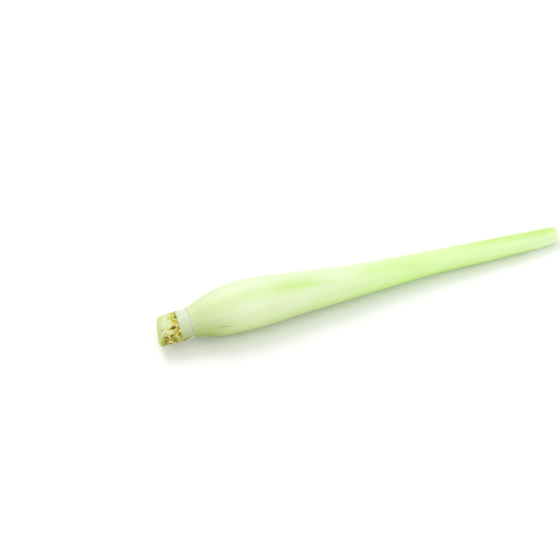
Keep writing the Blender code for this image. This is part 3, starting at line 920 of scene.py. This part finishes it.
def stub_skin(s, angle, stub):
    """The skin of the stem's end: how far it stands out, how torn it is and how brown.

    It is most torn beside the old leaf base and on the lower front."""
    cos, sin = around(angle)
    beside_stump = 0.9 * ease((s - 4.3 + 1.5 * lumps(cos * 2.3, sin * 2.3, 0.4)) / 1.4)
    below = 0.9 * hump(turn_between(angle, STUB_UNDER_AT), 44) * ease((s + 1.1) / 1.2)
    patchy = 0.75 * lumps(s / 1.7, cos * 4.2, sin * 4.2)
    torn = np.clip(beside_stump + below + patchy - 0.06, 0, 1)
    strips = lumps(s * 0.5, cos * 9, sin * 9)
    rough = lumps(s * 1.2, cos * 11, sin * 11) + 0.6 * lumps(s * 2.6, cos * 25, sin * 25)
    crests = 0.5 - np.abs(lumps(s * 0.8, cos * 7, sin * 7)) * 2
    relief = stub.roughness / MM * (0.14 + torn) * (rough + strips + crests)
    flecks = lumps(s * 0.55 + 9, cos * 6.5, sin * 6.5) + 0.6 * lumps(s * 1.5, cos * 15, sin * 15)
    brown = ease((flecks - 0.22) / 0.42) * torn
    for i, (at, scar_angle, size, height) in enumerate(root_scars()):
        strength = 0.25 + 0.75 * (i * 0.618 % 1)
        across = turn_between(angle, scar_angle) * np.radians(1) * STUB_RADIUS
        near = np.hypot(s - at, across) < 2.2 * size
        along, across = s[near], across[near]
        ragged = 1 + 0.35 * lumps(along * 0.9, across * 0.9, at) + 0.2 * lumps(along * 2.4, across * 2.4, at)
        share = np.hypot(along - at, across) / size * ragged
        knob = 0.6 * height * (1 - ease((share - 0.6) / 0.6))
        relief[near] += strength * (knob - stub.scar_pit / MM * hump(share, 0.45))
        scarred = 0.85 * hump(share, 0.42) + 0.4 * hump(share - 1, 0.22) * (torn[near] + 0.25)
        brown[near] = np.maximum(brown[near], strength * scarred)
    ragged = 1 + 0.6 * lumps(s * 1.6, cos * 11, sin * 11) + 0.3 * lumps(s * 3.5, cos * 24, sin * 24)
    for at, stain_angle, length, width, strength in STAINS:
        share = np.hypot((s - at) / length, turn_between(angle, stain_angle) / width)
        stain = strength * hump(share * ragged, 1)
        brown = np.maximum(brown, stain)
        torn = np.maximum(torn, np.clip(stain, 0, 0.7))
    relief = relief - 0.28 * ease((brown - 0.55) / 0.5)
    return relief, torn, brown


class LEMONGRASS_OT_stem(Operator):
    """Makes the stem: its cut face, its scarred side and the core inside the leaves"""

    bl_idname = "lemongrass.stem"
    bl_label = "Stem"
    bl_options = {"REGISTER", "UNDO"}

    SEGMENTS, SIDES = 150, 320
    # The stub is short, but most of the segments are there.
    STUB_SEGMENTS_SHARE, STUB_LENGTH_SHARE = 0.84, 0.235
    LUMPY = 0.16
    UNDER_WIDTH = 46.0

    def outline(self):
        """The stem's outline: s and radius as functions of the share of its length."""
        points = np.array(STEM_OUTLINE, float)
        steps = np.linalg.norm(np.diff(points, axis=0), axis=1)
        shares = np.concatenate([[0], np.cumsum(steps)]) / steps.sum()
        return smooth_curve(list(zip(shares, points[:, 0]))), smooth_curve(list(zip(shares, points[:, 1])))

    def spread(self, share):
        return float(np.interp(share, [0, self.STUB_SEGMENTS_SHARE, 1], [0, self.STUB_LENGTH_SHARE, 1]))

    def execute(self, context):
        s_at, radius_at = self.outline()
        bm = flat_sheet(self.spread, (0, 360), self.SEGMENTS, self.SIDES)
        share, angle, _ = flat_places(bm)
        s, radius = s_at(share), np.maximum(radius_at(share), 0)
        on_side = ease((radius - 6.5) / 0.5) * ease((STUB_ENDS - s) / 1.2)
        on_face = (1 - ease((radius - 5.6) / 0.9)) * (s < 0)
        relief, torn, brown = stub_skin(s, angle, context.scene.lemongrass_stub)
        cos, sin = around(angle)
        back, up = cos * radius, sin * radius
        lumpy = self.LUMPY * lumps(s * 0.3, cos * 1.8, sin * 1.8)
        face = 0.12 * lumps(back * 0.4, up * 0.4, 0.2) + 0.03 * lumps(back * 2, up * 2, 0.9)
        past_rim = ease((s + 0.9) / 1.1)
        note(
            bm,
            torn=torn * past_rim,
            brown=brown * past_rim,
            rim=np.where(s < 0, radius / STUB_RADIUS, 1 + np.maximum(s, 0) / 10),
            under=hump(turn_between(angle, STUB_UNDER_AT), self.UNDER_WIDTH),
        )
        roll_up(bm, laid(s - on_face * face, angle, radius + on_side * (relief + lumpy)))
        weld(bm)
        show("stem_with_scars", bm, stem_finish(context.scene.lemongrass_colours), "basal_stem", "basal_stem")
        return {"FINISHED"}


class LEMONGRASS_OT_torn_bits(Operator):
    """Makes the torn fibres and flakes round the root scars"""

    bl_idname = "lemongrass.torn_bits"
    bl_label = "Torn Bits"
    bl_options = {"REGISTER", "UNDO"}

    SIDE_RADIUS = 7.05
    FIBRE_JOINTS, FIBRE_TAPER = 4, 0.72
    FOOT_SINKS = 0.25
    FLAKE_SEGMENTS, FLAKE_SIDES, FLAKE_THICKNESS = 7, 5, 0.07
    # The larger torn flakes: s, angle, length, width in degrees, and lift.
    LARGE_FLAKES = [
        (3.6, 88, 3.4, 8, 0.55), (6.6, 79, 2.2, 7, 0.6), (8.0, 98, -1.8, 6, 0.4), (6.2, 133, 2.2, 6, 0.45),
        (2.6, 183, 2.4, 9, 0.6), (0.8, 190, 1.8, 8, 0.5), (6.9, 36, 2.4, 9, 0.5), (5.2, 322, 2.6, 9, 0.5),
    ]

    def skin_at(self, s, angle, stub):
        """The stem's radius at one place on its end, and how torn it is there."""
        relief, torn, _ = stub_skin(np.array([s]), np.array([angle]), stub)
        return self.SIDE_RADIUS + float(relief[0]), torn[0]

    def torn_place(self, draw, stub, least):
        """A place on the stem's end where the skin is torn: s, angle and radius."""
        while True:
            s, angle = draw.uniform(-0.4, 8.2), draw.uniform(0, 360)
            radius, torn = self.skin_at(s, angle, stub)
            if torn > draw.uniform(least, 1.1):
                return s, angle, radius

    def fibre(self, bm, draw, stub):
        s, angle, radius = self.torn_place(draw, stub, 0.25)
        foot = lay_one(s, angle, radius - self.FOOT_SINKS)
        way = (lay_one(s, angle, radius + 1) - foot).normalized()
        lean = Vector([draw.uniform(-1, 1) for _ in range(3)])
        way = (way + 0.75 * lean).normalized()
        bend = 0.5 * Vector([draw.uniform(-1, 1) for _ in range(3)])
        thickness = stub.fibre_radius * draw.uniform(0.6, 1.3)
        step = stub.fibre_length * draw.uniform(0.25, 1.0) / self.FIBRE_JOINTS
        turned = way.to_track_quat("Z", "Y").to_matrix().to_4x4()
        ring = bmesh.ops.create_circle(
            bm, cap_ends=True, segments=4, radius=thickness, matrix=Matrix.Translation(foot) @ turned
        )["verts"]
        edges = list({edge for vert in ring for edge in vert.link_edges})
        for _ in range(self.FIBRE_JOINTS):
            made = bmesh.ops.extrude_edge_only(bm, edges=edges)["geom"]
            ring = [item for item in made if isinstance(item, bmesh.types.BMVert)]
            edges = [item for item in made if isinstance(item, bmesh.types.BMEdge)]
            middle = sum((vert.co for vert in ring), Vector()) / len(ring)
            taper = (self.FIBRE_TAPER,) * 3
            bmesh.ops.scale(bm, vec=taper, verts=ring, space=Matrix.Translation(-middle))
            bmesh.ops.translate(bm, verts=ring, vec=way * step)
            way = (way + bend * 0.6).normalized()
        bmesh.ops.edgenet_fill(bm, edges=edges)

    def small_flake(self, draw, stub):
        s, angle, radius = self.torn_place(draw, stub, 0.35)
        length = stub.flake_length / MM * draw.uniform(0.4, 1.0) * draw.choice((-1, 1))
        return self.flake(draw, s, angle, radius, length, draw.uniform(4.0, 11.0), draw.uniform(0.0, 0.24))

    def large_flake(self, draw, stub, s, angle, length, width, lift):
        radius, _ = self.skin_at(s, angle, stub)
        return self.flake(draw, s, angle, radius, length, width, lift)

    def flake(self, draw, s, angle, radius, length, width, lift):
        """A torn flake whose foot is at this place, and which stands off towards its tip."""
        twist, curl = draw.uniform(-5, 5), draw.uniform(-0.1, 0.25)
        bm = flat_wall(lambda share: share, (-0.5, 0.5), self.FLAKE_SEGMENTS, self.FLAKE_SIDES)
        along, across, depth = flat_places(bm)
        ends = 1 - 0.5 * along**2
        ragged = 0.1 * lumps(along * 3, across * 5, s)
        reach = length * along * (1 + 0.6 * lumps(across * 4.5, s, angle))
        stands_off = lift * along**1.6 + curl * (2 * across) ** 2 * along
        out = radius - 0.1 + stands_off + ragged - self.FLAKE_THICKNESS * depth
        roll_up(bm, laid(s + reach, angle + across * width * ends + twist * along, out))
        return bm

    def execute(self, context):
        stub = context.scene.lemongrass_stub
        colours = context.scene.lemongrass_colours
        draw = random.Random(SEED + 1)
        fibres = bmesh.new()
        for _ in range(stub.fibres):
            self.fibre(fibres, draw, stub)
        show("root_fibres", fibres, fibre_finish("root_fibres", colours.stem, colours.amber), "basal_stem")
        made = [self.small_flake(draw, stub) for _ in range(stub.flakes)]
        made += [self.large_flake(draw, stub, *flake) for flake in self.LARGE_FLAKES]
        flakes = bmesh.new()
        for flake in made:
            mesh = bpy.data.meshes.new("flake")
            flake.to_mesh(mesh)
            flake.free()
            flakes.from_mesh(mesh)
            bpy.data.meshes.remove(mesh)
        show("torn_flakes", flakes, fibre_finish("torn_flakes", colours.amber, colours.cream), "basal_stem")
        return {"FINISHED"}


class LEMONGRASS_OT_stump(Operator):
    """Makes the stump of the old leaf base and the thin skin that peels off it"""

    bl_idname = "lemongrass.stump"
    bl_label = "Old Leaf Base"
    bl_options = {"REGISTER", "UNDO"}

    SEGMENTS, SIDES, CROWDING = 46, 240, 0.6
    ROUNDING = 0.04
    TORN_RIM, TORN_OVER = 0.14, 1.4  # the thickness of the torn rim, and how far up the tears reach
    # Where the old leaf base has painted shade below: the angle of the middle, and the width in degrees.
    UNDER_AT, UNDER_WIDTH = 205.0, 66.0
    # The peeling skins: the middle of each, its width in degrees, where it starts, and how far it stands off.
    SKINS = [(226, 66, 8.6, 0.75), (318, 44, 9.6, 0.4), (352, 30, 10.4, 0.3)]
    SKIN_SEGMENTS, SKIN_SIDES, SKIN_THICKNESS = 24, 72, 0.07
    SKIN_CORNERS_AT, SKIN_ENDS = 14.0, 14.4

    def sleeve(self):
        along = crowded(STUMP_STARTS, STUMP_ENDS, self.CROWDING)
        bm = flat_wall(along, (0, 360), self.SEGMENTS, self.SIDES)
        seam = [face for face in bm.faces if len({round(vert.co.y, 3) for vert in face.verts}) == 1]
        bmesh.ops.delete(bm, geom=seam, context="FACES")
        s, angle, depth = flat_places(bm)
        note(
            bm,
            torn=1.1 * hump(s - STUMP_STARTS, 0.55),
            under=hump(turn_between(angle, self.UNDER_AT), self.UNDER_WIDTH),
        )
        cos, sin = around(angle)
        ragged = 0.5 * lumps(cos * 2, sin * 2, 0.3) + 0.35 * lumps(cos * 6, sin * 6, 1.1)
        ragged = ragged + 0.2 * lumps(cos * 15, sin * 15, 0.7) + 0.1 * lumps(cos * 32, sin * 32, 2.7)
        torn = hump(s - STUMP_STARTS, self.TORN_OVER)
        folds = 0.07 * lumps(s * 0.9, cos * 2.5, sin * 2.5) + 0.03 * lumps(s * 0.5, cos * 16, sin * 16)
        rings = 0.04 * np.sin(s * 2.9 + 2 * lumps(cos, sin, 0.2))
        flare = 0.3 * np.clip(lumps(cos * 5, sin * 5, 4.4), -0.5, 1)
        outside = stump_radius(s) + (folds + rings) * ease((STUMP_ENDS - 0.4 - s) / 0.8) + flare * torn
        wall = outside - STUMP_BORE - self.TORN_RIM
        thickness = self.TORN_RIM + wall * ease((s - STUMP_STARTS - 0.2) / 1.8)
        roll_up(bm, laid(s + ragged * torn, angle, outside - depth * thickness))
        weld(bm)
        return bm

    def skin(self, middle, width, starts, stands_off):
        """A thin skin that hangs on by its upper end, curling off along its torn lower end."""
        bm = flat_wall(lambda share: share, (0, 1), self.SKIN_SEGMENTS, self.SKIN_SIDES)
        share, across, depth = flat_places(bm)
        note(bm, torn=0.55 * (1 - share) ** 3, under=np.zeros_like(share))
        angle = middle + (across - 0.5) * width * (1 - 0.15 * share)
        side = np.sin(np.pi * np.clip(across, 0, 1)) ** 0.6
        torn = 0.9 * lumps(across * 3, middle, 0.1) + 0.6 * lumps(across * 9, middle, 0.6)
        torn = torn + 0.3 * lumps(across * 23, middle, 0.9)
        first = starts + torn + (1 - side) * (self.SKIN_CORNERS_AT - starts)
        s = first + (self.SKIN_ENDS - first) * share
        peel = stands_off * (1 - share) ** 1.5 * side * (0.7 + 0.6 * lumps(across * 5, 0.4, middle))
        wave = 0.12 * (1 - share) * lumps(across * 12, share * 2, middle)
        radius = stump_radius(s) + 0.12 + np.maximum(peel + wave, 0) - self.SKIN_THICKNESS * depth
        roll_up(bm, laid(s, angle, radius))
        return bm

    def execute(self, context):
        colours = context.scene.lemongrass_colours
        finish = stump_finish("old_sheath_stump", colours, JUICY)
        show(
            "stump_sleeve", self.sleeve(), finish, "old_sheath_stump", "old_sheath_stump",
            rounding=self.ROUNDING,
        )
        dry = stump_finish("peeling_skin", colours, {"Specular_IOR_Level": 0.5})
        for i, skin in enumerate(self.SKINS):
            show(f"peeling_skin_{i + 1}", self.skin(*skin), dry, "old_sheath_stump")
        return {"FINISHED"}


class LEMONGRASS_OT_stage(Operator):
    """Makes the floor, the lights and the camera"""

    bl_idname = "lemongrass.stage"
    bl_label = "Stage"
    bl_options = {"REGISTER", "UNDO"}

    LOOKS_AT = (67.23, 20.57, 0.0)  # from the root end, on the floor
    NEAREST = 0.01
    FLOOR_SIZE, FLOOR_SEGMENTS = 1.6, 8
    # The lights aim at the middle of the floor.
    KEY_PLACE, KEY_SIZE = (-0.25, 0.55, 0.95), 0.55
    FILL_PLACE, FILL_SIZE = (0.1, -0.9, 0.6), 0.8

    def floor(self, context):
        bm = bmesh.new()
        segments = self.FLOOR_SEGMENTS
        bmesh.ops.create_grid(bm, x_segments=segments, y_segments=segments, size=self.FLOOR_SIZE)
        mesh = bpy.data.meshes.new("floor")
        bm.to_mesh(mesh)
        bm.free()
        mesh.materials.append(floor_finish(context.scene.lemongrass_stage.floor))
        floor = bpy.data.objects.new("floor", mesh)
        context.scene.collection.objects.link(floor)

    def camera(self, context):
        stage = context.scene.lemongrass_stage
        azimuth, elevation = stage.azimuth, stage.elevation
        level = math.cos(elevation)
        way = Vector((math.sin(azimuth) * level, -math.cos(azimuth) * level, math.sin(elevation)))
        aim = (Vector(self.LOOKS_AT) + Vector(ROOT_AT)) * MM
        camera = bpy.data.objects.new("camera", bpy.data.cameras.new("camera"))
        camera.data.lens = stage.lens
        camera.data.clip_start = self.NEAREST
        camera.location = aim + way * stage.distance
        camera.rotation_euler = way.to_track_quat("Z", "Y").to_euler()
        context.scene.collection.objects.link(camera)
        context.scene.camera = camera

    def light(self, context, name, power, place, size):
        data = bpy.data.lights.new(name, "AREA")
        data.energy = power
        data.shape = "DISK"
        data.size = size
        lamp = bpy.data.objects.new(name, data)
        lamp.location = place
        lamp.rotation_euler = Vector(place).to_track_quat("Z", "Y").to_euler()
        context.scene.collection.objects.link(lamp)

    def execute(self, context):
        stage = context.scene.lemongrass_stage
        self.floor(context)
        self.camera(context)
        self.light(context, "key", stage.key, self.KEY_PLACE, self.KEY_SIZE)
        self.light(context, "fill", stage.fill, self.FILL_PLACE, self.FILL_SIZE)
        world = bpy.data.worlds.new("studio")
        world.use_nodes = True
        background = world.node_tree.nodes["Background"]
        background.inputs["Color"].default_value = (1, 1, 1, 1)
        background.inputs["Strength"].default_value = stage.sky
        context.scene.world = world
        context.scene.view_settings.view_transform = "Standard"
        return {"FINISHED"}


class LEMONGRASS_PT_panel(Panel):
    """Lists the pieces and their sizes and colours"""

    bl_label = "Lemongrass Stalk"
    bl_idname = "LEMONGRASS_PT_panel"
    bl_space_type = "VIEW_3D"
    bl_region_type = "UI"
    bl_category = "Lemongrass"

    def draw(self, context):
        for operator in OPERATORS:
            self.layout.operator(operator.bl_idname)
        for group_name in GROUPS:
            group = getattr(context.scene, group_name)
            box = self.layout.box()
            for name in group.__annotations__:
                box.prop(group, name)


OPERATORS = [
    LEMONGRASS_OT_stage,
    LEMONGRASS_OT_outer_leaf,
    LEMONGRASS_OT_inner_leaves,
    LEMONGRASS_OT_heart_leaf,
    LEMONGRASS_OT_stem,
    LEMONGRASS_OT_torn_bits,
    LEMONGRASS_OT_stump,
]
GROUPS = {
    "lemongrass_leaves": LemongrassLeaves,
    "lemongrass_stub": LemongrassStub,
    "lemongrass_colours": LemongrassColours,
    "lemongrass_stage": LemongrassStage,
}


def register():
    for group in GROUPS.values():
        bpy.utils.register_class(group)
    for operator in OPERATORS:
        bpy.utils.register_class(operator)
    bpy.utils.register_class(LEMONGRASS_PT_panel)
    for name, group in GROUPS.items():
        setattr(bpy.types.Scene, name, PointerProperty(type=group))


def unregister():
    for name in GROUPS:
        delattr(bpy.types.Scene, name)
    bpy.utils.unregister_class(LEMONGRASS_PT_panel)
    for operator in reversed(OPERATORS):
        bpy.utils.unregister_class(operator)
    for group in reversed(GROUPS.values()):
        bpy.utils.unregister_class(group)


def main():
    register()
    bpy.ops.lemongrass.stage()
    bpy.ops.lemongrass.outer_leaf()
    bpy.ops.lemongrass.inner_leaves()
    bpy.ops.lemongrass.heart_leaf()
    bpy.ops.lemongrass.stem()
    bpy.ops.lemongrass.torn_bits()
    bpy.ops.lemongrass.stump()


if __name__ == "__main__":
    main()
